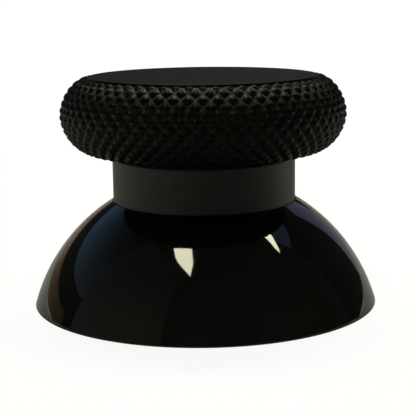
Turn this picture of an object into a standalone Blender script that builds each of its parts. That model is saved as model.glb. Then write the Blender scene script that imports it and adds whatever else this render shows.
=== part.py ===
"""Thumbstick cap of a game controller, in two mouldings that never come apart.

dome_base is hard gloss plastic: a spherical skirt with a keyed hub under its
crown, and a post with a locking flange above it. grip_cap is the soft cap
moulded over that post: a plain sleeve round the neck and a round head whose
rolled rim carries a diamond knurl. Metres, +Z up, origin on the axis in the
plane of the skirt's foot.
"""

import math

import bmesh
import bpy
from mathutils import Matrix, Vector

MM = 0.001

# Spherical skirt of the hard moulding
SKIRT_RADIUS = 9.46 * MM
SPHERE_SINK = 2.83 * MM
SKIRT_WALL = 1.10 * MM
FOOT_ROUND = 0.08 * MM
SKIRT_STEPS = 40

# Hub under the crown, with its double-D socket for the stick's shaft
HUB_RADIUS = 3.10 * MM
HUB_RECESS = 1.90 * MM
HUB_ROOT_FILLET = 0.55 * MM
HUB_CHAMFER = 0.20 * MM
SOCKET_DIAMETER = 4.10 * MM
SOCKET_FLATS = 3.10 * MM
SOCKET_DEPTH = 4.60 * MM
SOCKET_LEAD_IN = 0.30 * MM
SOCKET_STEPS = 32

# Post and locking flange that carry the soft cap
POST_RADIUS = 3.80 * MM
FLANGE_RADIUS = 6.10 * MM
FLANGE_THICKNESS = 1.20 * MM
FLANGE_CHAMFER = 0.15 * MM
FLANGE_COVER = 1.65 * MM

# Neck sleeve of the soft cap, which stands in a shallow ledge in the crown
NECK_RADIUS = 5.01 * MM
NECK_LENGTH = 2.41 * MM
NECK_FILLET = 0.18 * MM
LEDGE_DEPTH = 0.22 * MM
MOULD_CLEARANCE = 0.05 * MM

# Head of the soft cap: flat disc, rolled rim and shallow cone underneath
DISC_RADIUS = 6.24 * MM
DISC_EDGE_ROUND = 0.05 * MM
DISC_STEP = 0.13 * MM
RIM_RADIUS = 7.80 * MM
UPPER_ROLL_HEIGHT = 2.045 * MM
LOWER_ROLL_HEIGHT = 2.05 * MM
LOWER_ROLL_RADIUS = 6.09 * MM
UNDERSIDE_RISE = 0.26 * MM
ROLL_FULLNESS = 1.81

# Diamond knurl on the rolled rim: helical grooves each way, and half diamonds down
# the roll, whose lengths shrink towards the neck by the power KNURL_GRADING. What
# the grooves leave standing is a pad, or a point where the pad would be too narrow
KNURL_GROOVES = 62
KNURL_HALF_ROWS = 16
KNURL_DEPTH = 0.17 * MM
KNURL_RUN_OUT_DEPTH = 0.06 * MM
KNURL_GROOVE_WIDTH = 0.40 * MM
KNURL_LEAST_PAD = 0.105 * MM
KNURL_TOP_MARGIN = 0.32 * MM
KNURL_NECK_MARGIN = 0.15 * MM
KNURL_GRADING = 0.92

WELD = 0.001 * MM
ROLL_POINTS = 48
SKIRT_OUTER_POINTS = 9
SKIRT_INNER_POINTS = 6
FILLET_POINTS = 3
CUT_OVERRUN = 1.00 * MM

# Heights that follow from the sizes above
SPHERE_RADIUS = math.hypot(SKIRT_RADIUS, SPHERE_SINK)


def sphere_height(radius, sphere_radius=SPHERE_RADIUS):
    """Height of the sphere about the skirt's centre at a radius from the axis."""
    return math.sqrt(sphere_radius ** 2 - radius ** 2) - SPHERE_SINK


NECK_FOOT = sphere_height(NECK_RADIUS)
NECK_TOP = NECK_FOOT + NECK_LENGTH
EQUATOR = NECK_TOP + UNDERSIDE_RISE + LOWER_ROLL_HEIGHT
DISC_HEIGHT = EQUATOR + UPPER_ROLL_HEIGHT
LEDGE_HEIGHT = NECK_FOOT - LEDGE_DEPTH
FLANGE_TOP = DISC_HEIGHT - FLANGE_COVER
FLANGE_BOTTOM = FLANGE_TOP - FLANGE_THICKNESS


def arc(centre, radius, start, end, points):
    """Points (r, z) on an arc, ends included, with its angles in degrees."""
    angles = [math.radians(start + (end - start) * i / (points - 1)) for i in range(points)]
    return [(centre[0] + radius * math.cos(a), centre[1] + radius * math.sin(a)) for a in angles]


def sphere_arc(sphere_radius, start_radius, end_radius, points):
    """Points (r, z) along the skirt's sphere between two radii from the axis."""
    start = math.degrees(math.acos(start_radius / sphere_radius))
    end = math.degrees(math.acos(end_radius / sphere_radius))
    return arc((0.0, -SPHERE_SINK), sphere_radius, start, end, points)


def make_collection(name):
    """New collection in the scene."""
    collection = bpy.data.collections.new(name)
    bpy.context.scene.collection.children.link(collection)
    return collection


def make_material(name, colour, roughness):
    """Principled material of one moulding."""
    material = bpy.data.materials.new(name)
    material.use_nodes = True
    shader = material.node_tree.nodes["Principled BSDF"]
    shader.inputs["Base Color"].default_value = (*colour, 1.0)
    shader.inputs["Roughness"].default_value = roughness
    shader.inputs["Metallic"].default_value = 0.0
    return material


def move_to(obj, collection):
    """Unlink an object from where it is and put it in a collection."""
    for holder in list(obj.users_collection):
        holder.objects.unlink(obj)
    collection.objects.link(obj)


def turned(name, profile, steps, collection, material):
    """Body turned about Z from a profile that runs outward and down, then back."""
    mesh = bpy.data.meshes.new(name)
    points = [(r, 0.0, z) for r, z in profile]
    mesh.from_pydata(points, [(i, i + 1) for i in range(len(points) - 1)], [])
    obj = bpy.data.objects.new(name, mesh)
    collection.objects.link(obj)
    screw = obj.modifiers.new("turn", "SCREW")
    screw.axis = "Z"
    screw.angle = 2.0 * math.pi
    screw.steps = steps
    screw.render_steps = steps
    screw.use_merge_vertices = True
    screw.merge_threshold = WELD
    screw.use_smooth_shade = False
    obj.data.materials.append(material)
    return obj


def hide_cutter(obj, name, collection):
    """Name a cutter, draw it as wire and keep it out of the part."""
    obj.name = name
    obj.display_type = "WIRE"
    obj.hide_render = True
    move_to(obj, collection)


def add_boolean(obj, operand, operation):
    """Exact Boolean of one object with another."""
    boolean = obj.modifiers.new(operand.name, "BOOLEAN")
    boolean.operation = operation
    boolean.solver = "EXACT"
    boolean.object = operand


def base_profile():
    """Section of the hard moulding, from the flange's top round to the hub's foot."""
    seat_radius = NECK_RADIUS + MOULD_CLEARANCE
    inner_sphere = SPHERE_RADIUS - SKIRT_WALL
    inner_foot = math.sqrt(inner_sphere ** 2 - SPHERE_SINK ** 2)
    foot_top = math.sqrt(SPHERE_RADIUS ** 2 - (SPHERE_SINK + FOOT_ROUND) ** 2)
    fillet_reach = HUB_RADIUS + HUB_ROOT_FILLET
    fillet_height = sphere_height(fillet_reach, inner_sphere) - HUB_ROOT_FILLET
    profile = [(0.0, FLANGE_TOP)]
    profile += [(FLANGE_RADIUS - FLANGE_CHAMFER, FLANGE_TOP)]
    profile += [(FLANGE_RADIUS, FLANGE_TOP - FLANGE_CHAMFER)]
    profile += [(FLANGE_RADIUS, FLANGE_BOTTOM + FLANGE_CHAMFER)]
    profile += [(FLANGE_RADIUS - FLANGE_CHAMFER, FLANGE_BOTTOM)]
    profile += [(POST_RADIUS, FLANGE_BOTTOM), (POST_RADIUS, LEDGE_HEIGHT)]
    profile += [(seat_radius, LEDGE_HEIGHT)]
    profile += sphere_arc(SPHERE_RADIUS, seat_radius, foot_top, SKIRT_OUTER_POINTS)
    profile += arc((foot_top - FOOT_ROUND, FOOT_ROUND), FOOT_ROUND, 0, -90, FILLET_POINTS)[1:]
    profile += sphere_arc(inner_sphere, inner_foot, fillet_reach, SKIRT_INNER_POINTS)
    profile += arc((fillet_reach, fillet_height), HUB_ROOT_FILLET, 90, 180, FILLET_POINTS)[1:]
    profile += [(HUB_RADIUS, HUB_RECESS + HUB_CHAMFER)]
    profile += [(HUB_RADIUS - HUB_CHAMFER, HUB_RECESS), (0.0, HUB_RECESS)]
    return profile


def socket_cutters(collection):
    """Round bore limited by two flats, and the cone that opens its mouth."""
    length = SOCKET_DEPTH + CUT_OVERRUN
    middle = HUB_RECESS + SOCKET_DEPTH - length / 2.0
    bpy.ops.mesh.primitive_cylinder_add(
        vertices=SOCKET_STEPS, radius=SOCKET_DIAMETER / 2.0, depth=length, location=(0.0, 0.0, middle))
    bore = bpy.context.object
    hide_cutter(bore, "socket_bore", collection)
    bpy.ops.mesh.primitive_cube_add(size=1.0, location=(0.0, 0.0, middle))
    flats = bpy.context.object
    flats.scale = (SOCKET_FLATS, 2.0 * SOCKET_DIAMETER, 2.0 * length)
    hide_cutter(flats, "socket_flats", collection)
    add_boolean(bore, flats, "INTERSECT")
    mouth_radius = SOCKET_DIAMETER / 2.0 + SOCKET_LEAD_IN
    tip_radius = SOCKET_FLATS / 2.0
    cone_length = mouth_radius - tip_radius
    bpy.ops.mesh.primitive_cone_add(
        vertices=SOCKET_STEPS, radius1=mouth_radius + CUT_OVERRUN, radius2=tip_radius,
        depth=cone_length + CUT_OVERRUN,
        location=(0.0, 0.0, HUB_RECESS + (cone_length - CUT_OVERRUN) / 2.0))
    mouth = bpy.context.object
    hide_cutter(mouth, "socket_lead_in", collection)
    return [bore, mouth]


def build_dome_base(parts, cutters, material):
    """Hard moulding: skirt, hub, post and flange in one turned body, then its socket."""
    base = turned("dome_base", base_profile(), SKIRT_STEPS, parts, material)
    for cutter in socket_cutters(cutters):
        add_boolean(base, cutter, "DIFFERENCE")
    return base


def roll_outline():
    """Section of the rim from the disc's edge over the roll to the top of the neck."""
    power = 2.0 / ROLL_FULLNESS
    outline = []
    for i in range(ROLL_POINTS + 1):
        turn = 0.5 * math.pi * (1.0 - i / ROLL_POINTS)
        out = max(math.cos(turn), 0.0) ** power
        up = math.sin(turn) ** power
        outline.append((DISC_RADIUS + (RIM_RADIUS - DISC_RADIUS) * out,
                        EQUATOR + UPPER_ROLL_HEIGHT * up))
    for i in range(1, ROLL_POINTS + 1):
        turn = 0.5 * math.pi * i / ROLL_POINTS
        out = max(math.cos(turn), 0.0) ** power
        down = math.sin(turn) ** power
        outline.append((LOWER_ROLL_RADIUS + (RIM_RADIUS - LOWER_ROLL_RADIUS) * out,
                        EQUATOR - LOWER_ROLL_HEIGHT * down))
    outline.append((NECK_RADIUS, NECK_TOP))
    return [Vector(point) for point in outline]


ROLL = roll_outline()
ROLL_LENGTH = sum((b - a).length for a, b in zip(ROLL, ROLL[1:]))
KNURL_LENGTH = ROLL_LENGTH - KNURL_TOP_MARGIN - KNURL_NECK_MARGIN


def roll_point(distance, sink):
    """Point (r, z) at a distance along the rim's section, sunk below its surface."""
    left = distance
    for start, end in zip(ROLL, ROLL[1:]):
        step = end - start
        if left <= step.length or end is ROLL[-1]:
            along = step.normalized()
            outward = Vector((-along.y, along.x))
            return start + along * left - outward * sink
        left -= step.length
    return ROLL[-1]


def knurl_section(row, sink):
    """Point (r, z) of a knurl row, sunk below the rim's surface."""
    share = (row / KNURL_HALF_ROWS) ** KNURL_GRADING
    return roll_point(KNURL_TOP_MARGIN + KNURL_LENGTH * share, sink)


def root_depth(row):
    """Depth of the grooves where they cross on a row; they run out at both borders."""
    return KNURL_RUN_OUT_DEPTH if row in (0, KNURL_HALF_ROWS) else KNURL_DEPTH


def lattice_point(column, row, sink):
    """Point of the knurl's lattice: columns of one groove pitch, rows of half a diamond."""
    radius, height = knurl_section(row, sink)
    turn = column * 2.0 * math.pi / KNURL_GROOVES
    return Vector((radius * math.sin(turn), -radius * math.cos(turn), height))


def pad_share(row):
    """Share of a diamond's width that its pad keeps between the grooves, or 0 for a point."""
    half_width = knurl_section(row, 0.0)[0] * math.pi / KNURL_GROOVES
    half_length = 0.5 * (knurl_section(row + 1, 0.0) - knurl_section(row - 1, 0.0)).length
    groove_pitch = 2.0 * half_width * half_length / math.hypot(half_width, half_length)
    pad = groove_pitch - KNURL_GROOVE_WIDTH
    return pad / groove_pitch if pad > KNURL_LEAST_PAD else 0.0


def add_diamond(bm, column, row):
    """One knurl diamond: four flanks from the grooves up to its pad or its point."""
    corners = [(column - 0.5, row), (column, row + 1), (column + 0.5, row), (column, row - 1)]
    roots = [bm.verts.new(lattice_point(c, r, root_depth(r))) for c, r in corners]
    share = pad_share(row)
    if share == 0.0:
        tip = bm.verts.new(lattice_point(column, row, 0.0))
        for i in range(4):
            bm.faces.new((roots[i], roots[(i + 1) % 4], tip))
        return
    pad = []
    for c, r in corners:
        pad_column = column + share * (c - column)
        pad_row = row + share * (r - row)
        pad.append(bm.verts.new(lattice_point(pad_column, pad_row, 0.0)))
    bm.faces.new(pad)
    for i in range(4):
        j = (i + 1) % 4
        bm.faces.new((roots[i], roots[j], pad[j], pad[i]))


def add_border_triangle(bm, row, tip_row):
    """Half diamond at the knurl's border, left at the grooves' depth."""
    corners = [(-0.5, row), (0.5, row), (0.0, tip_row)]
    bm.faces.new([bm.verts.new(lattice_point(c, r, root_depth(r))) for c, r in corners])


def add_strip(bm, profile):
    """Plain turned faces of one sector along a profile of points (r, z)."""
    half_turn = math.pi / KNURL_GROOVES
    rails = []
    for side in (-half_turn, half_turn):
        rails.append([Vector((r * math.sin(side), -r * math.cos(side), z)) for r, z in profile])
    for i in range(len(profile) - 1):
        quad = [rails[0][i], rails[0][i + 1], rails[1][i + 1], rails[1][i]]
        corners = [p for k, p in enumerate(quad) if (p - quad[k - 1]).length > WELD]
        bm.faces.new([bm.verts.new(p) for p in corners])


def disc_profile():
    """Section of the flat disc and the step down to the knurl's first row."""
    first_row = knurl_section(0, KNURL_RUN_OUT_DEPTH)
    edge_centre = (DISC_RADIUS - DISC_EDGE_ROUND, DISC_HEIGHT - DISC_EDGE_ROUND)
    profile = [(0.0, DISC_HEIGHT)]
    profile += arc(edge_centre, DISC_EDGE_ROUND, 90, 0, FILLET_POINTS)
    profile += [(DISC_RADIUS, DISC_HEIGHT - DISC_STEP)]
    return profile + [tuple(first_row)]


def neck_profile():
    """Section from the knurl's last row down the neck and up through the cavity."""
    last_row = knurl_section(KNURL_HALF_ROWS, KNURL_RUN_OUT_DEPTH)
    foot = LEDGE_HEIGHT + MOULD_CLEARANCE
    bore = POST_RADIUS + MOULD_CLEARANCE
    pocket = FLANGE_RADIUS + MOULD_CLEARANCE
    floor = FLANGE_BOTTOM - MOULD_CLEARANCE
    ceiling = FLANGE_TOP + MOULD_CLEARANCE
    fillet_centre = (NECK_RADIUS + NECK_FILLET, NECK_TOP - NECK_FILLET)
    profile = [tuple(last_row)]
    profile += arc(fillet_centre, NECK_FILLET, 90, 180, FILLET_POINTS)
    profile += [(NECK_RADIUS, foot), (bore, foot), (bore, floor)]
    return profile + [(pocket, floor), (pocket, ceiling), (0.0, ceiling)]


def build_grip_cap(parts, material):
    """Soft moulding: one sector of cap and knurl, spun round the axis and welded."""
    bm = bmesh.new()
    add_strip(bm, disc_profile())
    add_border_triangle(bm, 0, 1)
    for row in range(1, KNURL_HALF_ROWS):
        add_diamond(bm, 0.5 * ((row + KNURL_HALF_ROWS) % 2), row)
    add_border_triangle(bm, KNURL_HALF_ROWS, KNURL_HALF_ROWS - 1)
    add_strip(bm, neck_profile())
    sector = bm.verts[:] + bm.edges[:] + bm.faces[:]
    for i in range(1, KNURL_GROOVES):
        copy = bmesh.ops.duplicate(bm, geom=sector)["geom"]
        turn = Matrix.Rotation(i * 2.0 * math.pi / KNURL_GROOVES, 3, "Z")
        corners = [item for item in copy if isinstance(item, bmesh.types.BMVert)]
        bmesh.ops.rotate(bm, verts=corners, cent=(0.0, 0.0, 0.0), matrix=turn)
    bmesh.ops.remove_doubles(bm, verts=bm.verts[:], dist=WELD)
    bmesh.ops.recalc_face_normals(bm, faces=bm.faces[:])
    mesh = bpy.data.meshes.new("grip_cap")
    bm.to_mesh(mesh)
    bm.free()
    cap = bpy.data.objects.new("grip_cap", mesh)
    parts.objects.link(cap)
    cap.data.materials.append(material)
    return cap


def main():
    """Clear the scene and build both mouldings."""
    for obj in list(bpy.data.objects):
        bpy.data.objects.remove(obj, do_unlink=True)
    parts = make_collection("thumbstick_cap")
    cutters = make_collection("cutters")
    gloss = make_material("gloss_black_plastic", (0.005, 0.005, 0.005), 0.08)
    rubber = make_material("soft_black_rubber", (0.021, 0.021, 0.019), 0.65)
    build_dome_base(parts, cutters, gloss)
    build_grip_cap(parts, rubber)


main()
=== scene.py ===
"""Looks of a thumbstick cap: a soft grip cap with a knurled rim on a gloss domed base.

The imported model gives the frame, in metres, with +Z up and the foot ring at Z = 0.
Both mouldings get a fine mesh of the same form as their solids, with the finish of
the real part, and stand on a pale floor in a dim studio with three ceiling lights.
"""

import logging
import math
from dataclasses import dataclass
from enum import Enum
from typing import Iterator

import bmesh
import bpy
from mathutils import Matrix, Vector


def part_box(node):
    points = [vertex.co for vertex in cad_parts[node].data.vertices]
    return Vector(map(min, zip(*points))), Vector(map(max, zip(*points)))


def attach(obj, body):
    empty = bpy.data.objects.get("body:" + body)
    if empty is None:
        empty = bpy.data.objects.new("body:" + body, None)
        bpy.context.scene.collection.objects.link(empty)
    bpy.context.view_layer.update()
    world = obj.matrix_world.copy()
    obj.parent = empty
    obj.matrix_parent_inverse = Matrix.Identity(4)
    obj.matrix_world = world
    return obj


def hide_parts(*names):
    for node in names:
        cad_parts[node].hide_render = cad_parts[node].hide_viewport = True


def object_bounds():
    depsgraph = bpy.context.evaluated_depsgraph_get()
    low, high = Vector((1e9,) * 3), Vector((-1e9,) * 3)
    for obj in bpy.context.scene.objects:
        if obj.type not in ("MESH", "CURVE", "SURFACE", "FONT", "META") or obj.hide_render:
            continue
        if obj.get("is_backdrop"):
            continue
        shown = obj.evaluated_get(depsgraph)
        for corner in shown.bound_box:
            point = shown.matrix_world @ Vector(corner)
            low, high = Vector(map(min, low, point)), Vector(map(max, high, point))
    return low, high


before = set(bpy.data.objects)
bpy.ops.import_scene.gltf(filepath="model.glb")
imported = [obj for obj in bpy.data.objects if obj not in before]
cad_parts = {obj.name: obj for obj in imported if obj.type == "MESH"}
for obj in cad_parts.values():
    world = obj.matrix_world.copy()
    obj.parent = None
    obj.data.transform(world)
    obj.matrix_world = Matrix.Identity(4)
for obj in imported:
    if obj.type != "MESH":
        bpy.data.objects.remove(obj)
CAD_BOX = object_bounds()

MM = 0.001
WELD = 0.001 * MM
BODY = "root"
GROOVE = "groove"
LOG = logging.getLogger("thumbstick_cap")

Colour = tuple[float, float, float]
Section = list[tuple[float, float]]
Step = tuple[float, float]


class Slot(Enum):
    """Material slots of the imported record."""

    GLOSS = "gloss_plastic"
    RUBBER = "soft_rubber"


class Ray(Enum):
    """Kinds of ray that a floor or a room can tell apart."""

    CAMERA = "Is Camera Ray"
    GLOSSY = "Is Glossy Ray"
    TRANSMISSION = "Is Transmission Ray"


class Signal:
    """An output socket that takes part in Python expressions."""

    def __init__(self, bench: "NodeBench", socket: bpy.types.NodeSocket) -> None:
        """Keep the socket and the bench that adds its Math nodes.

        Args:
            bench: Node tree that the socket belongs to.
            socket: Output socket of one value, colour or vector.
        """
        self.bench = bench
        self.socket = socket

    def math(self, operation: str, *operands: "Signal | float") -> "Signal":
        """Math node with this signal first.

        Args:
            operation: Name of the Math node's operation.
            operands: Signals or numbers for the sockets that follow.

        Returns:
            The node's value.
        """
        inputs = dict(enumerate((self, *operands)))
        return self.bench.add("ShaderNodeMath", {"operation": operation}, inputs)

    def reflected(self, operation: str, first: float) -> "Signal":
        """Math node with a number before this signal."""
        return self.bench.add("ShaderNodeMath", {"operation": operation}, {0: first, 1: self})

    def __add__(self, other: "Signal | float") -> "Signal":
        """Sum of this signal and another."""
        return self.math("ADD", other)

    def __radd__(self, other: float) -> "Signal":
        """Sum of a number and this signal."""
        return self.reflected("ADD", other)

    def __sub__(self, other: "Signal | float") -> "Signal":
        """Difference of this signal and another."""
        return self.math("SUBTRACT", other)

    def __rsub__(self, other: float) -> "Signal":
        """Difference of a number and this signal."""
        return self.reflected("SUBTRACT", other)

    def __mul__(self, other: "Signal | float") -> "Signal":
        """Product of this signal and another."""
        return self.math("MULTIPLY", other)

    def __rmul__(self, other: float) -> "Signal":
        """Product of a number and this signal."""
        return self.reflected("MULTIPLY", other)

    def __truediv__(self, other: "Signal | float") -> "Signal":
        """Quotient of this signal and another."""
        return self.math("DIVIDE", other)

    def __rtruediv__(self, other: float) -> "Signal":
        """Quotient of a number and this signal."""
        return self.reflected("DIVIDE", other)

    def __pow__(self, other: "Signal | float") -> "Signal":
        """This signal to a power."""
        return self.math("POWER", other)

    def __rpow__(self, other: float) -> "Signal":
        """A number to the power of this signal."""
        return self.reflected("POWER", other)

    def clamped(self) -> "Signal":
        """This signal held between 0 and 1."""
        return self.math("MAXIMUM", 0.0).math("MINIMUM", 1.0)

    def eased(self, start: float, end: float) -> "Signal":
        """Smooth step of this signal.

        Args:
            start: Value at which the step is 0.
            end: Value at which the step is 1, above or below the start.

        Returns:
            A signal from 0 to 1.
        """
        share = ((self - start) / (end - start)).clamped()
        return share * share * (3.0 - 2.0 * share)


class NodeBench:
    """Adds and links the nodes of one node tree."""

    def __init__(self, tree: bpy.types.NodeTree) -> None:
        """Clear the tree and keep it.

        Args:
            tree: Node tree of a material or a world.
        """
        tree.nodes.clear()
        self.tree = tree

    def add(self, kind: str, settings: dict | None = None, inputs: dict | None = None,
            output: str | int = 0) -> Signal | None:
        """Add one node, set it up and link it.

        Args:
            kind: The node's type.
            settings: Values of the node's own properties, with a ramp's stops under "stops".
            inputs: Numbers, colours or signals by socket name or number.
            output: Name or number of the output to hand back.

        Returns:
            The chosen output as a signal, or None for a node without outputs.
        """
        node = self.tree.nodes.new(kind)
        for name, value in (settings or {}).items():
            if name == "stops":
                self.set_stops(node.color_ramp, value)
            else:
                setattr(node, name, value)
        for name, value in (inputs or {}).items():
            if isinstance(value, Signal):
                self.tree.links.new(value.socket, node.inputs[name])
            else:
                node.inputs[name].default_value = value
        return Signal(self, node.outputs[output]) if node.outputs else None

    @staticmethod
    def set_stops(ramp: bpy.types.ColorRamp, stops: list[tuple[float, Colour]]) -> None:
        """Give a ramp its stops.

        Args:
            ramp: Ramp of a new node, with two elements or fewer than it needs.
            stops: Place from 0 to 1 and colour of each stop, in order.
        """
        while len(ramp.elements) < len(stops):
            ramp.elements.new(1.0)
        for element, (place, colour) in zip(ramp.elements, stops):
            element.position = place
            element.color = (*colour, 1.0)

    def mix(self, share: Signal, first: Signal | Colour, second: Signal | Colour) -> Signal:
        """Blend two colours.

        Args:
            share: 0 for the first colour and 1 for the second.
            first: Colour at share 0.
            second: Colour at share 1.

        Returns:
            The blended colour.
        """
        colours = [c if isinstance(c, Signal) else (*c, 1.0) for c in (first, second)]
        inputs = {"Factor": share, 6: colours[0], 7: colours[1]}
        return self.add("ShaderNodeMix", {"data_type": "RGBA"}, inputs, 2)

    def place(self) -> Signal:
        """Position in the piece's own frame, in metres."""
        return self.add("ShaderNodeTexCoord", output="Object")

    def part(self, vector: Signal, axis: int) -> Signal:
        """X, Y or Z of a vector, as axis 0, 1 or 2."""
        return self.add("ShaderNodeSeparateXYZ", {}, {0: vector}, axis)

    def radius(self) -> Signal:
        """Distance from the piece's own axis, in metres."""
        x, y = (self.part(self.place(), axis) for axis in (0, 1))
        return (x * x + y * y) ** 0.5

    def height(self) -> Signal:
        """Height in the piece's own frame, in metres."""
        return self.part(self.place(), 2)

    def ray(self, kind: Ray) -> Signal:
        """1 for rays of one kind and 0 for the rest."""
        return self.add("ShaderNodeLightPath", output=kind.value)

    def noise(self, feature: float, detail: float = 2.0) -> Signal:
        """Noise with features of a real size.

        Args:
            feature: Size of one feature, in metres.
            detail: Octaves of finer noise on top.

        Returns:
            Noise from 0 to 1, about 0.5 on average.
        """
        inputs = {"Vector": self.place(), "Scale": 1.0 / feature, "Detail": detail}
        return self.add("ShaderNodeTexNoise", {}, inputs, "Fac")

    def bump(self, height: Signal, depth: float) -> Signal:
        """Normal of a relief.

        Args:
            height: Relief from 0 to 1.
            depth: Real height of the relief, in metres.

        Returns:
            The bumped normal.
        """
        return self.add("ShaderNodeBump", {}, {"Distance": depth, "Height": height})


def new_material(name: str) -> tuple[bpy.types.Material, NodeBench]:
    """Make an empty node material.

    Args:
        name: Name of the material.

    Returns:
        The material and the bench of its tree.
    """
    material = bpy.data.materials.new(name)
    material.use_nodes = True
    return material, NodeBench(material.node_tree)


@dataclass(frozen=True)
class SoftRubber:
    """Soft matte rubber: fine grain, with a duller knurl whose groove floors carry a pale painted
    highlight.

    A pair of numbers gives where a smooth step starts and ends.
    """

    colour: Colour = (0.0036, 0.0037, 0.0031)
    mottle: float = 0.10
    mottle_size: float = 1.4 * MM
    mottle_step: Step = (0.3, 0.7)
    roughness: float = 0.38
    knurl_roughness: float = 0.32
    mottle_swing: float = 0.08
    grain_swing: float = 0.16
    specular: float = 0.2
    knurl_specular: float = 0.055
    grain_size: float = 0.11 * MM
    grain_detail: float = 3.0
    grain_depth: float = 0.020 * MM
    knurl_smoothing: float = 0.8
    knurl_radii: Step = (6.18 * MM, 6.24 * MM)
    knurl_heights: Step = (8.10 * MM, 8.16 * MM)
    # Painted highlight: a pale colour on the groove floors that stands in for their glint.
    painted_glint: Colour = (0.066, 0.067, 0.050)
    painted_glint_patch_size: float = 0.5 * MM
    painted_glint_patches: Step = (0.25, 0.6)
    painted_glint_floors: Step = (0.86, 1.0)
    painted_glint_radii: Step = (6.50 * MM, 6.75 * MM)
    painted_glint_heights: Step = (11.0 * MM, 12.0 * MM)
    painted_glint_least: float = 0.12

    def painted_glint_share(self, bench: NodeBench, radius: Signal, height: Signal) -> Signal:
        """Painted highlight on the groove floors, in patches and strongest on the upper rows.

        Args:
            bench: Bench of the material.
            radius: Distance from the axis.
            height: Height above the foot ring.

        Returns:
            0 on plain rubber and 1 under the full painted highlight.
        """
        groove = bench.add("ShaderNodeAttribute", {"attribute_name": GROOVE}, output="Fac")
        # Painted highlight strongest on the upper rows, which face the light from above.
        lit_rows = height.eased(*self.painted_glint_heights) * (1.0 - self.painted_glint_least) + self.painted_glint_least
        patches = bench.noise(self.painted_glint_patch_size).eased(*self.painted_glint_patches)
        return groove.eased(*self.painted_glint_floors) * lit_rows * radius.eased(*self.painted_glint_radii) * patches

    def material(self) -> bpy.types.Material:
        """Build the node material.

        Returns:
            The finished material.
        """
        material, bench = new_material("soft_rubber_finish")
        radius, height = bench.radius(), bench.height()
        knurled = radius.eased(*self.knurl_radii) * height.eased(*self.knurl_heights)
        grain = bench.noise(self.grain_size, self.grain_detail)
        mottle = bench.noise(self.mottle_size)
        darker = tuple(c * (1.0 - self.mottle) for c in self.colour)
        lighter = tuple(c * (1.0 + self.mottle) for c in self.colour)
        rubber = bench.mix(mottle.eased(*self.mottle_step), darker, lighter)
        swing = self.mottle_swing * (mottle - 0.5) + self.grain_swing * (grain - 0.5)
        relief = grain * (1.0 - self.knurl_smoothing * knurled)
        shared = {
            # Pale painted highlight mixed over the rubber on the groove floors.
            "Base Color": bench.mix(self.painted_glint_share(bench, radius, height), rubber, self.painted_glint),
            "Normal": bench.bump(relief, self.grain_depth),
        }
        plain, knurl = (bench.add("ShaderNodeBsdfPrincipled", {}, {
            **shared, "Roughness": roughness + swing, "Specular IOR Level": specular,
        }) for roughness, specular in ((self.roughness, self.specular),
                                       (self.knurl_roughness, self.knurl_specular)))
        surface = bench.add("ShaderNodeMixShader", {}, {0: knurled, 1: plain, 2: knurl})
        bench.add("ShaderNodeOutputMaterial", {}, {"Surface": surface})
        return material


@dataclass(frozen=True)
class GlossPlastic:
    """Polished black plastic: a mirror finish with the faint ripple of a moulding."""

    colour: Colour = (0.0032, 0.0032, 0.0034)
    roughness: float = 0.035
    haze: float = 0.03
    haze_size: float = 2.2 * MM
    haze_detail: float = 4.0
    haze_step: Step = (0.45, 0.75)
    haze_lift: float = 1.25
    ripple_size: float = 1.1 * MM
    ripple_detail: float = 1.0
    ripple_depth: float = 0.0011 * MM

    def material(self) -> bpy.types.Material:
        """Build the node material.

        Returns:
            The finished material.
        """
        material, bench = new_material("gloss_plastic_finish")
        haze = bench.noise(self.haze_size, self.haze_detail).eased(*self.haze_step)
        ripple = bench.noise(self.ripple_size, self.ripple_detail)
        lighter = tuple(c * self.haze_lift for c in self.colour)
        shader = bench.add("ShaderNodeBsdfPrincipled", {}, {
            "Base Color": bench.mix(haze, self.colour, lighter),
            "Roughness": self.roughness + self.haze * haze,
            "Normal": bench.bump(ripple, self.ripple_depth),
        })
        bench.add("ShaderNodeOutputMaterial", {}, {"Surface": shader})
        return material


def arc(centre: tuple[float, float], radius: float, start: float, end: float,
        points: int) -> Section:
    """Points of an arc in the section plane.

    Args:
        centre: Radius and height of the arc's centre.
        radius: Radius of the arc.
        start: First angle, in degrees.
        end: Last angle, in degrees.
        points: Number of points, ends included.

    Returns:
        Points as (radius, height).
    """
    angles = [math.radians(start + (end - start) * i / (points - 1)) for i in range(points)]
    return [(centre[0] + radius * math.cos(a), centre[1] + radius * math.sin(a)) for a in angles]


def on_turn(radius: float, height: float, turn: float) -> Vector:
    """Point at a radius and height, turned about Z from the side that faces -Y."""
    return Vector((radius * math.sin(turn), -radius * math.cos(turn), height))


def finish_mesh(bm: bmesh.types.BMesh, name: str, sharp: float) -> bpy.types.Object:
    """Weld, orient and shade a mesh and put it in the scene.

    Args:
        bm: The mesh, which is freed.
        name: Name of the new piece.
        sharp: Angle from which an edge stays sharp, in degrees.

    Returns:
        The new piece.
    """
    bmesh.ops.remove_doubles(bm, verts=bm.verts[:], dist=WELD)
    bmesh.ops.recalc_face_normals(bm, faces=bm.faces[:])
    mesh = bpy.data.meshes.new(name)
    bm.to_mesh(mesh)
    bm.free()
    mesh.shade_smooth()
    mesh.set_sharp_from_angle(angle=math.radians(sharp))
    piece = bpy.data.objects.new(name, mesh)
    bpy.context.scene.collection.objects.link(piece)
    return piece


def dress(piece: bpy.types.Object, material: bpy.types.Material, slot: Slot, node: str) -> None:
    """Give a piece its finish and let it stand for its node.

    Args:
        piece: The fine mesh.
        material: Its finish.
        slot: Material slot of the record; not used.
        node: Name of the solid that it stands for.
    """
    piece.data.materials.clear()
    piece.data.materials.append(material)
    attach(piece, BODY)
    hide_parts(node)
    LOG.info("%s: %d faces, stands for %s", piece.name, len(piece.data.polygons), node)


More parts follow.
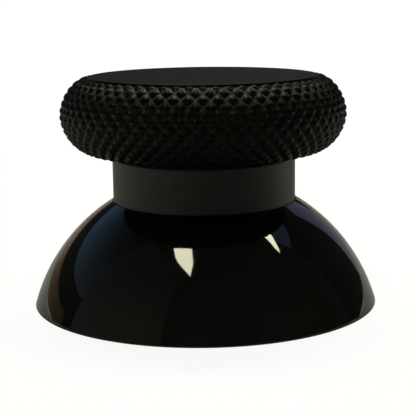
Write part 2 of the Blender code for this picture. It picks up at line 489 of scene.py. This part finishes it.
@dataclass
class GripCap:
    """Soft cap: flat disc, knurled rolled rim, neck sleeve and the cavity on the post.

    The stops divide a groove's pitch from floor to floor, with a diamond's pad between
    the fourth and the sixth of them.
    """

    disc_height: float
    sleeve_foot: float
    neck_radius: float = 5.01 * MM
    neck_fillet: float = 0.18 * MM
    neck_fillet_points: int = 6
    neck_top: float = 8.089 * MM
    disc_radius: float = 6.24 * MM
    disc_edge_round: float = 0.05 * MM
    disc_edge_points: int = 5
    disc_step: float = 0.13 * MM
    rim_radius: float = 7.80 * MM
    upper_roll_height: float = 2.045 * MM
    lower_roll_height: float = 2.05 * MM
    lower_roll_radius: float = 6.09 * MM
    roll_fullness: float = 1.81
    roll_points: int = 96
    grooves: int = 62
    half_rows: int = 16
    groove_depth: float = 0.12 * MM
    run_out_depth: float = 0.09 * MM
    top_margin: float = 0.32 * MM
    neck_margin: float = 0.15 * MM
    grading: float = 0.92
    bore_radius: float = 3.85 * MM
    pocket_radius: float = 6.15 * MM
    pocket_cover: float = 1.60 * MM
    pocket_height: float = 1.30 * MM
    stops: tuple[float, ...] = (0.0, 0.06, 0.23, 0.40, 0.5, 0.60, 0.77, 0.94, 1.0)
    sharp_edges: float = 60.0

    @classmethod
    def from_frame(cls) -> "GripCap":
        """Cap between the lowest and the highest point of its solid."""
        low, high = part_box("grip_cap")
        return cls(disc_height=high.z, sleeve_foot=low.z)

    def roll_outline(self) -> list[Vector]:
        """Section of the rim, from the disc's edge over the roll to the neck.

        Returns:
            Points as (radius, height).
        """
        power = 2.0 / self.roll_fullness
        equator = self.disc_height - self.upper_roll_height
        outline = []
        for i in range(self.roll_points + 1):
            turn = 0.5 * math.pi * (1.0 - i / self.roll_points)
            out = max(math.cos(turn), 0.0) ** power
            reach = (self.rim_radius - self.disc_radius) * out
            lift = self.upper_roll_height * math.sin(turn) ** power
            outline.append(Vector((self.disc_radius + reach, equator + lift)))
        for i in range(1, self.roll_points + 1):
            turn = 0.5 * math.pi * i / self.roll_points
            out = max(math.cos(turn), 0.0) ** power
            reach = (self.rim_radius - self.lower_roll_radius) * out
            drop = self.lower_roll_height * math.sin(turn) ** power
            outline.append(Vector((self.lower_roll_radius + reach, equator - drop)))
        outline.append(Vector((self.neck_radius, self.neck_top)))
        return outline

    def __post_init__(self) -> None:
        """Keep the rim's section with the distance along it at each point."""
        self.roll = self.roll_outline()
        self.distances = [0.0]
        for start, end in zip(self.roll, self.roll[1:]):
            self.distances.append(self.distances[-1] + (end - start).length)
        self.knurl_length = self.distances[-1] - self.top_margin - self.neck_margin

    def roll_point(self, distance: float, sink: float) -> Vector:
        """Point of the rim's section, sunk below its surface.

        Args:
            distance: Distance along the section from the disc's edge.
            sink: Depth below the surface.

        Returns:
            The point as (radius, height).
        """
        last = len(self.roll) - 2
        i = next((k for k in range(last) if distance <= self.distances[k + 1]), last)
        along = (self.roll[i + 1] - self.roll[i]).normalized()
        outward = Vector((-along.y, along.x))
        return self.roll[i] + along * (distance - self.distances[i]) - outward * sink

    def row_distance(self, row: float) -> float:
        """Distance along the rim's section of a knurl row, whole or not."""
        share = (max(row, 0.0) / self.half_rows) ** self.grading
        return self.top_margin + self.knurl_length * share

    def depth_at(self, row: float) -> float:
        """Depth of the grooves at a row, less where they run out at both borders."""
        share = min(max(min(row, self.half_rows - row), 0.0), 1.0)
        return self.run_out_depth + (self.groove_depth - self.run_out_depth) * share

    def groove_share(self, left: float, right: float) -> float:
        """How deep a point lies in the nearer of two crossing groove families.

        Args:
            left: Phase across the grooves of one hand, whole at the middle of a diamond.
            right: Phase across the grooves of the other hand.

        Returns:
            0 on a diamond's pad and 1 on a groove's floor.
        """
        floor, shoulder = self.stops[1], self.stops[3]
        across = min(abs(phase - math.floor(phase) - 0.5) for phase in (left, right))
        return (shoulder - min(max(across, floor), shoulder)) / (shoulder - floor)

    def lattice_point(self, left: float, right: float) -> Vector:
        """Point of the knurl's surface.

        Args:
            left: Phase across the grooves of one hand.
            right: Phase across the grooves of the other hand.

        Returns:
            The point in the cap's frame.
        """
        sink = self.depth_at(right - left) * self.groove_share(left, right)
        radius, height = self.roll_point(self.row_distance(right - left), sink)
        return on_turn(radius, height, (left + right) * math.pi / self.grooves)

    def add_diamond(self, bm: bmesh.types.BMesh, column: float, row: int) -> None:
        """Add one diamond as a grid along both grooves, cut at the knurl's borders.

        Args:
            bm: Mesh of the sector.
            column: Place round the rim, in groove pitches.
            row: Place down the rim, in half diamonds.
        """
        corners = {}
        count = len(self.stops)
        for i, across in enumerate(self.stops):
            for j, along in enumerate(self.stops):
                if (row == 0 and j < i) or (row == self.half_rows and j > i):
                    continue
                left = column - 0.5 * row + across - 0.5
                right = column + 0.5 * row + along - 0.5
                corners[i, j] = bm.verts.new(self.lattice_point(left, right))
                corners[i, j][bm.verts.layers.float[GROOVE]] = self.groove_share(left, right)
        for i in range(count - 1):
            for j in range(count - 1):
                quad = [(i, j), (i + 1, j), (i + 1, j + 1), (i, j + 1)]
                face = [corners[key] for key in quad if key in corners]
                if len(face) >= 3:
                    bm.faces.new(face)

    def add_strip(self, bm: bmesh.types.BMesh, section: Section) -> None:
        """Add the plain turned faces of one sector.

        Args:
            bm: Mesh of the sector.
            section: Points as (radius, height).
        """
        turns = [(stop - 0.5) * 2.0 * math.pi / self.grooves for stop in self.stops]
        for start, end in zip(section, section[1:]):
            for low, high in zip(turns, turns[1:]):
                corners = ((start, low), (end, low), (end, high), (start, high))
                quad = [on_turn(*point, turn) for point, turn in corners]
                face = [p for k, p in enumerate(quad) if (p - quad[k - 1]).length > WELD]
                bm.faces.new([bm.verts.new(p) for p in face])

    def add_border(self, bm: bmesh.types.BMesh, ring: tuple[float, float], row: int) -> None:
        """Join a plain ring to the wavy line of a border row.

        Args:
            bm: Mesh of the sector.
            ring: Radius and height of the ring.
            row: The border row.
        """
        pairs = []
        for stop in self.stops:
            middle = stop - 0.5
            turn = middle * 2.0 * math.pi / self.grooves
            edge = self.lattice_point(middle - 0.5 * row, middle + 0.5 * row)
            pairs.append((on_turn(*ring, turn), edge))
        for first, second in zip(pairs, pairs[1:]):
            bm.faces.new([bm.verts.new(p) for p in (*first, *reversed(second))])

    def disc_section(self) -> Section:
        """Section of the disc, its rounded edge and the step to the knurl.

        Returns:
            Points as (radius, height).
        """
        edge = (self.disc_radius - self.disc_edge_round, self.disc_height - self.disc_edge_round)
        section = [(0.0, self.disc_height)]
        section += arc(edge, self.disc_edge_round, 90, 0, self.disc_edge_points)
        return section + [(self.disc_radius, self.disc_height - self.disc_step)]

    def neck_section(self) -> Section:
        """Section of the underside, the neck sleeve and the cavity above the post.

        Returns:
            Points as (radius, height).
        """
        fillet = (self.neck_radius + self.neck_fillet, self.neck_top - self.neck_fillet)
        ceiling = self.disc_height - self.pocket_cover
        floor = ceiling - self.pocket_height
        section = arc(fillet, self.neck_fillet, 90, 180, self.neck_fillet_points)
        section += [(self.neck_radius, self.sleeve_foot), (self.bore_radius, self.sleeve_foot)]
        section += [(self.bore_radius, floor), (self.pocket_radius, floor)]
        return section + [(self.pocket_radius, ceiling), (0.0, ceiling)]

    def build(self) -> bpy.types.Object:
        """Make one sector, spin it round the axis and weld the sectors.

        Returns:
            The grip cap.
        """
        bm = bmesh.new()
        bm.verts.layers.float.new(GROOVE)
        disc, neck = self.disc_section(), self.neck_section()
        self.add_strip(bm, disc)
        self.add_border(bm, disc[-1], 0)
        for row in range(self.half_rows + 1):
            self.add_diamond(bm, 0.5 * ((row + self.half_rows) % 2), row)
        self.add_border(bm, neck[0], self.half_rows)
        self.add_strip(bm, neck)
        bmesh.ops.remove_doubles(bm, verts=bm.verts[:], dist=WELD)
        sector = bm.verts[:] + bm.edges[:] + bm.faces[:]
        for i in range(1, self.grooves):
            copy = bmesh.ops.duplicate(bm, geom=sector)["geom"]
            turn = Matrix.Rotation(i * 2.0 * math.pi / self.grooves, 3, "Z")
            corners = [item for item in copy if isinstance(item, bmesh.types.BMVert)]
            bmesh.ops.rotate(bm, verts=corners, cent=(0.0, 0.0, 0.0), matrix=turn)
        piece = finish_mesh(bm, "knurled_grip_cap", self.sharp_edges)
        dress(piece, SoftRubber().material(), Slot.RUBBER, "grip_cap")
        return piece


@dataclass
class DomeBase:
    """Gloss moulding: spherical skirt, hub with its keyed socket, post and flange."""

    flange_top: float
    skirt_radius: float = 9.46 * MM
    sphere_sink: float = 2.83 * MM
    skirt_wall: float = 1.10 * MM
    foot_round: float = 0.03 * MM
    hub_radius: float = 3.10 * MM
    hub_recess: float = 1.90 * MM
    hub_root_fillet: float = 0.55 * MM
    hub_chamfer: float = 0.20 * MM
    socket_diameter: float = 4.10 * MM
    socket_flats: float = 3.10 * MM
    socket_depth: float = 4.60 * MM
    socket_lead_in: float = 0.30 * MM
    post_radius: float = 3.80 * MM
    flange_radius: float = 6.10 * MM
    flange_thickness: float = 1.20 * MM
    flange_chamfer: float = 0.15 * MM
    seat_radius: float = 5.06 * MM
    seat_height: float = 5.459 * MM
    cut_overrun: float = 1.00 * MM
    steps: int = 240
    socket_steps: int = 96
    skirt_points: int = 48
    fillet_points: int = 7
    sharp_edges: float = 32.0

    @classmethod
    def from_frame(cls) -> "DomeBase":
        """Base as tall as its solid."""
        return cls(flange_top=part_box("dome_base")[1].z)

    def sphere_height(self, radius: float, sphere_radius: float) -> float:
        """Height of a sphere about the skirt's centre at a radius from the axis."""
        return math.sqrt(sphere_radius ** 2 - radius ** 2) - self.sphere_sink

    def sphere_arc(self, sphere_radius: float, start: float, end: float) -> Section:
        """Section of the skirt's sphere between two radii from the axis."""
        angles = [math.degrees(math.acos(r / sphere_radius)) for r in (start, end)]
        return arc((0.0, -self.sphere_sink), sphere_radius, *angles, self.skirt_points)

    def section(self) -> Section:
        """Section from the flange's top round the skirt to the hub's foot.

        Returns:
            Points as (radius, height).
        """
        outer = math.hypot(self.skirt_radius, self.sphere_sink)
        inner = outer - self.skirt_wall
        inner_foot = math.sqrt(inner ** 2 - self.sphere_sink ** 2)
        foot_top = math.sqrt(outer ** 2 - (self.sphere_sink + self.foot_round) ** 2)
        reach = self.hub_radius + self.hub_root_fillet
        fillet_height = self.sphere_height(reach, inner) - self.hub_root_fillet
        flange_bottom = self.flange_top - self.flange_thickness
        section = [(0.0, self.flange_top)]
        section += [(self.flange_radius - self.flange_chamfer, self.flange_top)]
        section += [(self.flange_radius, self.flange_top - self.flange_chamfer)]
        section += [(self.flange_radius, flange_bottom + self.flange_chamfer)]
        section += [(self.flange_radius - self.flange_chamfer, flange_bottom)]
        section += [(self.post_radius, flange_bottom), (self.post_radius, self.seat_height)]
        section += [(self.seat_radius, self.seat_height)]
        section += self.sphere_arc(outer, self.seat_radius, foot_top)
        foot = (foot_top - self.foot_round, self.foot_round)
        section += arc(foot, self.foot_round, 0, -90, self.fillet_points)[1:]
        section += self.sphere_arc(inner, inner_foot, reach)
        root = (reach, fillet_height)
        section += arc(root, self.hub_root_fillet, 90, 180, self.fillet_points)[1:]
        section += [(self.hub_radius, self.hub_recess + self.hub_chamfer)]
        section += [(self.hub_radius - self.hub_chamfer, self.hub_recess)]
        return section + [(0.0, self.hub_recess)]

    def turned_body(self) -> bpy.types.Object:
        """Body turned about Z from the section.

        Returns:
            The body before its socket is cut.
        """
        bm = bmesh.new()
        rail = [bm.verts.new((r, 0.0, z)) for r, z in self.section()]
        edges = [bm.edges.new(pair) for pair in zip(rail, rail[1:])]
        bmesh.ops.spin(bm, geom=rail + edges, cent=(0.0, 0.0, 0.0), axis=(0.0, 0.0, 1.0),
                       angle=2.0 * math.pi, steps=self.steps, use_duplicate=False)
        return finish_mesh(bm, "gloss_dome_base", self.sharp_edges)

    def socket_cutters(self) -> Iterator[bpy.types.Object]:
        """Keyed bore and the cone that opens its mouth.

        Yields:
            Each cutter as an object.
        """
        length = self.socket_depth + self.cut_overrun
        middle = self.hub_recess + self.socket_depth - 0.5 * length
        bm = bmesh.new()
        bore = 0.5 * self.socket_diameter
        bmesh.ops.create_cone(bm, cap_ends=True, segments=self.socket_steps, depth=length,
                              radius1=bore, radius2=bore,
                              matrix=Matrix.Translation((0.0, 0.0, middle)))
        for side in (-1.0, 1.0):
            flat = (0.5 * side * self.socket_flats, 0.0, 0.0)
            geometry = bm.verts[:] + bm.edges[:] + bm.faces[:]
            cut = bmesh.ops.bisect_plane(bm, geom=geometry, dist=WELD, plane_co=flat,
                                         plane_no=(side, 0.0, 0.0), clear_outer=True)["geom_cut"]
            bmesh.ops.edgeloop_fill(bm, edges=[e for e in cut if isinstance(e, bmesh.types.BMEdge)])
        yield finish_mesh(bm, "socket_bore", self.sharp_edges)
        mouth = bore + self.socket_lead_in
        tip = 0.5 * self.socket_flats
        depth = mouth - tip + self.cut_overrun
        height = self.hub_recess + 0.5 * (mouth - tip - self.cut_overrun)
        bm = bmesh.new()
        bmesh.ops.create_cone(bm, cap_ends=True, segments=self.socket_steps, depth=depth,
                              radius1=mouth + self.cut_overrun, radius2=tip,
                              matrix=Matrix.Translation((0.0, 0.0, height)))
        yield finish_mesh(bm, "socket_mouth", self.sharp_edges)

    def build(self) -> bpy.types.Object:
        """Turn the base, cut its socket and dress it.

        Returns:
            The domed base.
        """
        piece = self.turned_body()
        cutters = list(self.socket_cutters())
        for cutter in cutters:
            boolean = piece.modifiers.new(cutter.name, "BOOLEAN")
            boolean.operation = "DIFFERENCE"
            boolean.solver = "EXACT"
            boolean.object = cutter
        evaluated = piece.evaluated_get(bpy.context.evaluated_depsgraph_get())
        mesh = bpy.data.meshes.new_from_object(evaluated)
        piece.modifiers.clear()
        piece.data = mesh
        mesh.shade_smooth()
        mesh.set_sharp_from_angle(angle=math.radians(self.sharp_edges))
        for cutter in cutters:
            bpy.data.objects.remove(cutter, do_unlink=True)
        dress(piece, GlossPlastic().material(), Slot.GLOSS, "dome_base")
        return piece


@dataclass(frozen=True)
class RoomWall:
    """A stretch of the room's walls, as the object sees it.

    Azimuth 0 is towards the camera and grows towards +X; angles are in degrees. The
    light follows the azimuths of the stops and blends to one colour at the top.
    """

    name: str
    low: float
    high: float
    stops: tuple[tuple[float, Colour], ...]
    top: Colour | None = None
    fade: float = 1.0
    steps: int = 24

    def point(self, room: "Room", azimuth: float, share: float) -> Vector:
        """Point of the wall at a share of its height."""
        return room.wall_point(azimuth, self.low + (self.high - self.low) * share)

    def build(self, room: "Room") -> bpy.types.Object:
        """Make the wall as a patch with a grid of faces.

        Args:
            room: The room that it belongs to.

        Returns:
            The wall.
        """
        left, right = self.stops[0][0], self.stops[-1][0]
        steps = self.steps
        bm = bmesh.new()
        span = bm.loops.layers.uv.new("span")
        grid = [[bm.verts.new(self.point(room, left + (right - left) * i / steps, j / steps))
                 for j in range(steps + 1)] for i in range(steps + 1)]
        for i in range(steps):
            for j in range(steps):
                keys = [(i, j), (i, j + 1), (i + 1, j + 1), (i + 1, j)]
                face = bm.faces.new([grid[a][b] for a, b in keys])
                for loop, (a, b) in zip(face.loops, keys):
                    loop[span].uv = (a / steps, b / steps)
        return room.hang(bm, self.name, self.material())

    def material(self) -> bpy.types.Material:
        """Light of the wall, by azimuth and towards its top.

        Returns:
            The glowing material.
        """
        material, bench = new_material(self.name)
        place = bench.add("ShaderNodeUVMap", {"uv_map": "span"})
        across = bench.part(place, 0)
        left, right = self.stops[0][0], self.stops[-1][0]
        stops = [((azimuth - left) / (right - left), colour) for azimuth, colour in self.stops]
        light = bench.add("ShaderNodeValToRGB", {"stops": stops}, {"Fac": across}, "Color")
        if self.top is not None:
            light = bench.mix(bench.part(place, 1).eased(0.0, self.fade), light, self.top)
        glow = bench.add("ShaderNodeEmission", {}, {"Color": light})
        bench.add("ShaderNodeOutputMaterial", {}, {"Surface": glow})
        return material


@dataclass(frozen=True)
class FloorGlow(RoomWall):
    """Ring of the floor as reflections see it, low and high being distances from the axis."""

    height: float = 0.2 * MM

    def point(self, room: "Room", azimuth: float, share: float) -> Vector:
        """Point of the ring at a share of its width."""
        reach = self.low * (self.high / self.low) ** share
        return on_turn(reach, self.height, math.radians(azimuth))

    def build(self, room: "Room") -> bpy.types.Object:
        """Make the ring, which casts no light or shadow on rough surfaces.

        Args:
            room: The room that it belongs to.

        Returns:
            The ring.
        """
        ring = super().build(room)
        ring.visible_diffuse = False
        ring.visible_shadow = False
        return ring


@dataclass(frozen=True)
class CeilingWindow:
    """A flat light at the ceiling, given by its outline in plan."""

    name: str
    outline: tuple[tuple[float, float], ...]
    colour: Colour
    height: float

    def build(self, room: "Room") -> bpy.types.Object:
        """Make the window as one flat face.

        Args:
            room: The room that it belongs to.

        Returns:
            The window.
        """
        bm = bmesh.new()
        bm.faces.new([bm.verts.new((x, y, self.height)) for x, y in self.outline])
        material, bench = new_material(self.name)
        glow = bench.add("ShaderNodeEmission", {}, {"Color": (*self.colour, 1.0), "Strength": 1.0})
        bench.add("ShaderNodeOutputMaterial", {}, {"Surface": glow})
        return room.hang(bm, self.name, material)


@dataclass
class Room:
    """Pale floor and the dim studio that the gloss base mirrors."""

    radius: float = 1.6
    ceiling: float = 0.50
    centre: Vector = Vector((0.0, 0.0, 5.0 * MM))
    dim: Colour = (0.024, 0.024, 0.022)
    floor_radius: float = 6.0
    floor_sides: int = 64
    floor_colour: Colour = (0.43, 0.435, 0.45)
    floor_white: float = 1.62
    floor_white_near: float = 0.877
    floor_reach: Step = (30.0 * MM, 0.5)
    floor_camera_share: float = 0.62
    floor_gloss_share: float = 0.02
    top_light: Colour = (12.4, 12.0, 10.0)
    window_light: Colour = (16.5, 15.8, 11.2)

    @staticmethod
    def direction(azimuth: float, elevation: float) -> Vector:
        """Direction as seen from the object.

        Args:
            azimuth: Turn from the camera towards +X, in degrees.
            elevation: Rise above the horizon, in degrees.

        Returns:
            The direction, of length 1.
        """
        turn = math.radians(azimuth)
        rise = math.radians(elevation)
        return on_turn(math.cos(rise), math.sin(rise), turn)

    def wall_point(self, azimuth: float, elevation: float) -> Vector:
        """Point of the room's sphere in a direction from the object."""
        return self.centre + self.radius * self.direction(azimuth, elevation)

    def hang(self, bm: bmesh.types.BMesh, name: str,
             material: bpy.types.Material) -> bpy.types.Object:
        """Put a panel in the scene, out of the camera's sight.

        Args:
            bm: The panel's mesh, which is freed.
            name: Name of the panel.
            material: Its light.

        Returns:
            The panel.
        """
        mesh = bpy.data.meshes.new(name)
        bm.to_mesh(mesh)
        bm.free()
        mesh.materials.append(material)
        panel = bpy.data.objects.new(name, mesh)
        bpy.context.scene.collection.objects.link(panel)
        panel.visible_camera = False
        panel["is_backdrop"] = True
        LOG.info("%s hangs in the room", name)
        return panel

    def walls(self) -> list[RoomWall]:
        """Walls of the room and the floor's glow, with their light by azimuth.

        Returns:
            The walls from the left behind the object round to the right, then the glow
            and the wall straight behind.
        """
        brown_left = ((-172.0, (0.36, 0.27, 0.19)), (-152.0, (0.36, 0.26, 0.18)),
                      (-144.0, (0.22, 0.14, 0.085)), (-108.0, (0.10, 0.075, 0.05)))
        blue_left = ((-166.0, (0.09, 0.15, 0.28)), (-146.0, (0.10, 0.165, 0.30)),
                     (-133.0, (0.10, 0.165, 0.27)), (-121.0, (0.10, 0.155, 0.22)),
                     (-110.0, (0.10, 0.135, 0.17)), (-98.0, (0.11, 0.125, 0.14)))
        grey_left = ((-98.0, (0.105, 0.115, 0.115)), (-70.0, (0.132, 0.137, 0.105)),
                     (-45.0, (0.145, 0.150, 0.110)), (-31.0, (0.115, 0.120, 0.084)),
                     (-28.0, (0.048, 0.045, 0.033)))
        front = ((-28.0, (0.048, 0.045, 0.033)), (-12.0, (0.068, 0.068, 0.056)),
                 (4.0, (0.066, 0.066, 0.060)), (16.0, (0.042, 0.042, 0.038)),
                 (28.0, (0.048, 0.048, 0.046)), (42.0, (0.072, 0.068, 0.060)),
                 (70.0, (0.066, 0.058, 0.038)), (92.0, (0.043, 0.038, 0.027)),
                 (106.0, (0.048, 0.046, 0.038)))
        blue_right = ((106.0, (0.12, 0.145, 0.24)), (131.0, (0.15, 0.18, 0.28)))
        pale_right = ((144.6, (0.27, 0.28, 0.31)), (160.0, (0.25, 0.26, 0.29)))
        brown_behind = ((158.0, (0.32, 0.22, 0.15)), (172.0, (0.34, 0.26, 0.19)))
        behind = ((168.0, (0.045, 0.045, 0.050)), (192.0, (0.004, 0.004, 0.004)))
        floor = ((-123.0, (1.05, 1.08, 0.98)), (-118.0, (1.25, 1.29, 1.15)),
                 (-101.0, (1.55, 1.62, 1.43)), (-72.0, (2.15, 2.25, 1.95)),
                 (-47.0, (1.98, 2.05, 1.76)), (-25.0, (1.36, 1.41, 1.20)),
                 (-4.0, (0.80, 0.82, 0.70)), (26.0, (0.46, 0.46, 0.40)),
                 (47.0, (0.66, 0.67, 0.58)), (75.0, (1.00, 1.02, 0.90)),
                 (97.0, (1.48, 1.51, 1.35)), (122.0, (1.40, 1.42, 1.31)))
        return [
            RoomWall("brown_wall_left", low=-3.0, high=7.6, stops=brown_left),
            RoomWall("blue_wall_left", low=18.6, high=54.0, stops=blue_left,
                     top=(0.030, 0.036, 0.046), fade=0.95),
            RoomWall("grey_wall_left", low=4.0, high=66.0, stops=grey_left,
                     top=(0.050, 0.050, 0.048)),
            RoomWall("grey_wall_front", low=4.0, high=64.0, stops=front,
                     top=(0.035, 0.034, 0.030)),
            RoomWall("blue_wall_right", low=45.0, high=64.0, stops=blue_right),
            RoomWall("pale_wall_right", low=-1.0, high=30.0, stops=pale_right,
                     top=(0.17, 0.195, 0.28), fade=0.6),
            RoomWall("brown_wall_behind", low=-3.0, high=7.0, stops=brown_behind),
            FloorGlow("floor_glow", low=36.0 * MM, high=0.25, stops=floor),
            RoomWall("pale_wall_behind", low=-1.0, high=30.0, stops=behind),
        ]

    def windows(self) -> list[CeilingWindow]:
        """Ceiling lights, with their outlines in plan in millimetres.

        Returns:
            Both windows and the light above.
        """
        left = ((-149, -66), (-149, -130), (-141, -168), (-127, -205), (-87, -283),
                (-73, -234), (-62, -190), (-62, -90))
        right = ((405, 30), (363, 41), (290, 83), (240, 108), (272, 182), (316, 135),
                 (355, 91), (390, 56))
        top = ((-160, 190), (160, 190), (160, 330), (-160, 330))
        lights = (("window_left", left, self.window_light),
                  ("window_right", right, self.window_light),
                  ("top_light", top, self.top_light))
        return [CeilingWindow(name, tuple((x * MM, y * MM) for x, y in plan), light, self.ceiling)
                for name, plan, light in lights]

    def floor_material(self) -> bpy.types.Material:
        """Pale paper, white to the camera but for the object's shadow.

        Returns:
            The floor's material.
        """
        material, bench = new_material("floor_paper")
        mirrored = bench.ray(Ray.GLOSSY) + bench.ray(Ray.TRANSMISSION)
        white = bench.ray(Ray.CAMERA) * self.floor_camera_share + mirrored * self.floor_gloss_share
        paper = bench.add("ShaderNodeBsdfDiffuse", {}, {"Color": (*self.floor_colour, 1.0)})
        near = (self.floor_white_near,) * 3
        tint = bench.mix(bench.radius().eased(*self.floor_reach), near, (1.0, 1.0, 1.0))
        glow = bench.add("ShaderNodeEmission", {}, {"Color": tint, "Strength": self.floor_white})
        surface = bench.add("ShaderNodeMixShader", {}, {0: white, 1: paper, 2: glow})
        bench.add("ShaderNodeOutputMaterial", {}, {"Surface": surface})
        return material

    def build_floor(self) -> bpy.types.Object:
        """Lay the floor.

        Returns:
            The floor.
        """
        bm = bmesh.new()
        bmesh.ops.create_circle(bm, cap_ends=True, segments=self.floor_sides,
                                radius=self.floor_radius)
        mesh = bpy.data.meshes.new("floor")
        bm.to_mesh(mesh)
        bm.free()
        mesh.materials.append(self.floor_material())
        floor = bpy.data.objects.new("floor", mesh)
        bpy.context.scene.collection.objects.link(floor)
        floor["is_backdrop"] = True
        LOG.info("floor laid")
        return floor

    def build_world(self) -> None:
        """Dim surroundings, white where the camera looks past the floor."""
        world = bpy.data.worlds.new("studio")
        world.use_nodes = True
        bench = NodeBench(world.node_tree)
        colour = bench.mix(bench.ray(Ray.CAMERA), self.dim, (1.0, 1.0, 1.0))
        sky = bench.add("ShaderNodeBackground", {}, {"Color": colour, "Strength": 1.0})
        bench.add("ShaderNodeOutputWorld", {}, {"Surface": sky})
        bpy.context.scene.world = world
        LOG.info("world set")

    def build(self) -> None:
        """Lay the floor, set the world and hang every wall and window."""
        self.build_floor()
        self.build_world()
        for part in [*self.walls(), *self.windows()]:
            part.build(self)


@dataclass(frozen=True)
class PhotoCamera:
    """Camera of the photograph, whose frame is square."""

    place: Vector = Vector((0.0, -63.545 * MM, 17.352 * MM))
    aim: Vector = Vector((0.20 * MM, 0.0, 5.08 * MM))
    roll: float = -0.723
    lens: float = 100.97
    nearest: float = 1.0 * MM
    farthest: float = 20.0

    def build(self) -> bpy.types.Object:
        """Make the scene's camera.

        Returns:
            The camera.
        """
        back = (self.place - self.aim).normalized()
        level = Vector((0.0, 0.0, 1.0)).cross(back).normalized()
        turn = Matrix.Rotation(math.radians(self.roll), 3, back)
        right = turn @ level
        up = back.cross(right)
        axes = Matrix((right, up, back)).transposed().to_4x4()
        camera = bpy.data.objects.new("photo_camera", bpy.data.cameras.new("photo_camera"))
        camera.matrix_world = Matrix.Translation(self.place) @ axes
        camera.data.lens = self.lens
        camera.data.clip_start = self.nearest
        camera.data.clip_end = self.farthest
        bpy.context.scene.collection.objects.link(camera)
        bpy.context.scene.camera = camera
        LOG.info("camera placed")
        return camera


def write_sizes() -> None:
    """Gather the box of the solids and that of the visual model, and keep neither."""
    boxes = {"cad": CAD_BOX, "visual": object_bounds()}
    {name: [list(corner) for corner in box] for name, box in boxes.items()}


def main() -> None:
    """Build the camera, the room and both mouldings."""
    logging.basicConfig(level=logging.INFO, format="%(message)s")
    bpy.context.scene.view_settings.view_transform = "Standard"
    PhotoCamera().build()
    Room().build()
    DomeBase.from_frame().build()
    GripCap.from_frame().build()
    write_sizes()


if __name__ == "__main__":
    main()
